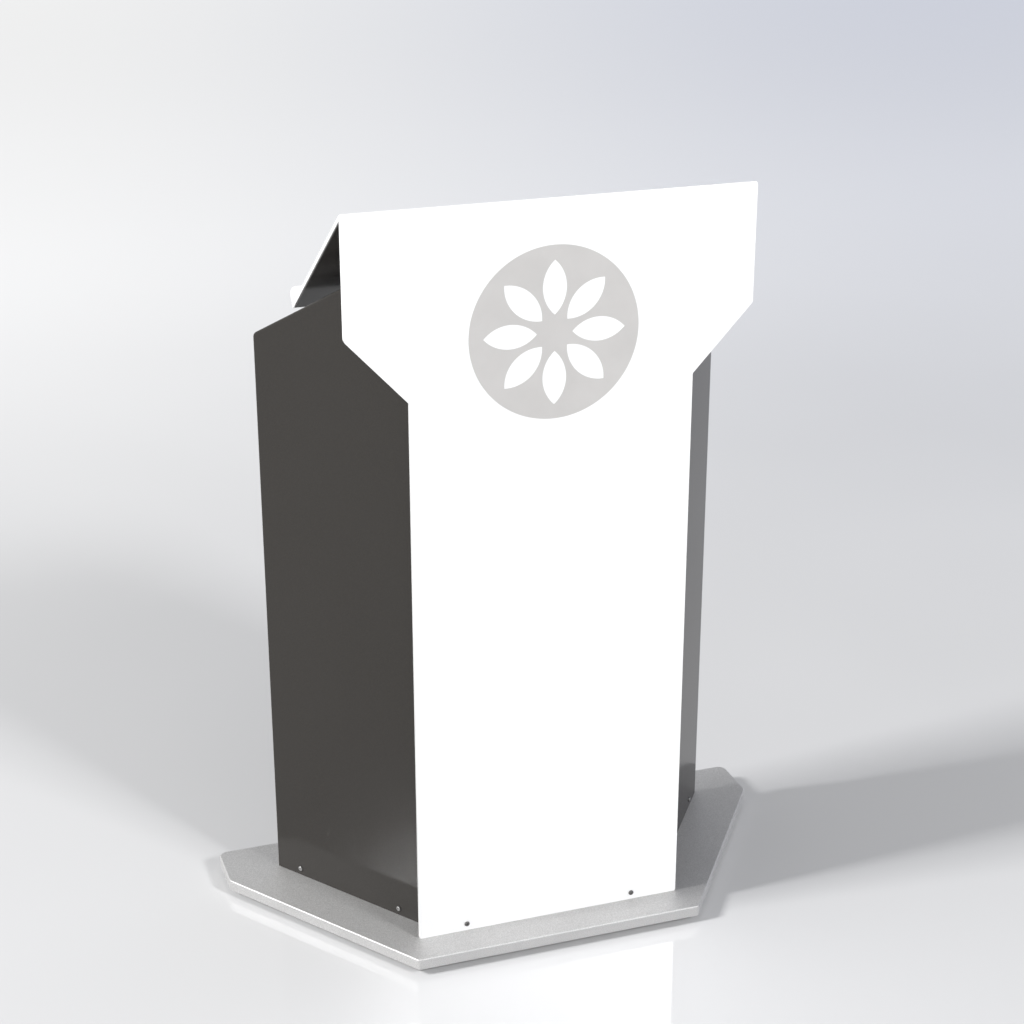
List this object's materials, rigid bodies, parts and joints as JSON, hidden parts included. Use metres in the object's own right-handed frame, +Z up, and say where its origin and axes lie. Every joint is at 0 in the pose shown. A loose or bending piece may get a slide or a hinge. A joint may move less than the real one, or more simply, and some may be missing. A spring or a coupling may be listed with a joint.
{
  "type": "presentation lectern",
  "caption": "Free-standing lectern: T-shaped front panel, sloping desk with a paper lip, flared sheet-metal body with a rear cupboard, on a wide flat base plate.",
  "frame": {"origin": "on the floor, under the centre of the base plate", "axes": "+Z up, +X to the right of somebody in the audience, +Y towards the presenter"},
  "size_m": [0.9, 0.4, 1.1578],
  "materials": {
    "silver_plate": "fine blasted, satin clear coat",
    "white_gloss": "high gloss white sheet",
    "emblem_film": "satin self-adhesive film",
    "dark_grey": "dark grey fine powder coat, semi-gloss",
    "zinc": "bright zinc plated",
    "dark_screw": "black zinc plated",
    "satin_nickel": "satin nickel plated",
    "black_plastic": "moulded, fine texture",
    "rubber_pad": "matt"
  },
  "bodies": {
    "frame": {"base_plate": "silver_plate", "front_panel": "white_gloss", "desk_top": "white_gloss", "emblem": "emblem_film", "desk_tray": "dark_grey", "inner_front_panel": "dark_grey", "left_side_panel": "dark_grey", "right_side_panel": "dark_grey", "body_top": "dark_grey", "rear_top_rail": "dark_grey", "rear_bottom_rail": "dark_grey", "shelf": "dark_grey", "shelf_brackets": "dark_grey", "front_upstand": "zinc", "left_upstand": "zinc", "right_upstand": "zinc", "upstand_screws": "zinc", "glide_screws": "zinc", "desk_spacers": "zinc", "spacer_screws": "zinc", "ridge_screws": "zinc", "stem_screws": "zinc", "front_rivets": "zinc", "body_top_screws": "zinc", "side_screws": "zinc", "left_hinge_frame_halves": "zinc", "left_hinge_pins": "zinc", "right_hinge_frame_halves": "zinc", "right_hinge_pins": "zinc", "front_screws": "dark_screw", "glides": "black_plastic", "desk_grommet": "black_plastic", "body_grommet": "black_plastic", "cable_slot_trim": "rubber_pad", "door_bumpers": "rubber_pad"},
    "left_door": {"left_door": "dark_grey", "left_hinge_door_halves": "zinc", "left_pull": "satin_nickel", "left_pull_screws": "zinc", "bolt_guides": "zinc"},
    "right_door": {"right_door": "dark_grey", "right_hinge_door_halves": "zinc", "right_pull": "satin_nickel", "right_pull_screws": "zinc", "lock_housing": "satin_nickel", "lock_nut": "zinc"},
    "lock_core": {"lock_plug": "satin_nickel", "lock_cam": "zinc", "cam_screw": "zinc"},
    "bolt": {"bolt_rod": "zinc"}
  },
  "joints": [
    {"name": "left_door_hinge", "type": "hinge", "parent": "frame", "child": "left_door", "pos_m": [-0.3345, 0.1375, 0.47], "axis": [0, 0, 1], "range_deg": [0, 110]},
    {"name": "right_door_hinge", "type": "hinge", "parent": "frame", "child": "right_door", "pos_m": [0.3345, 0.1375, 0.47], "axis": [0, 0, -1], "range_deg": [0, 110]},
    {"name": "lock_turn", "type": "hinge", "parent": "right_door", "child": "lock_core", "pos_m": [0.025, 0.1335, 0.45], "axis": [0, 1, 0], "range_deg": [0, 90]},
    {"name": "bolt_slide", "type": "slide", "parent": "left_door", "child": "bolt", "axis": [0, 0, 1], "range_m": [0, 0.012]}
  ]
}
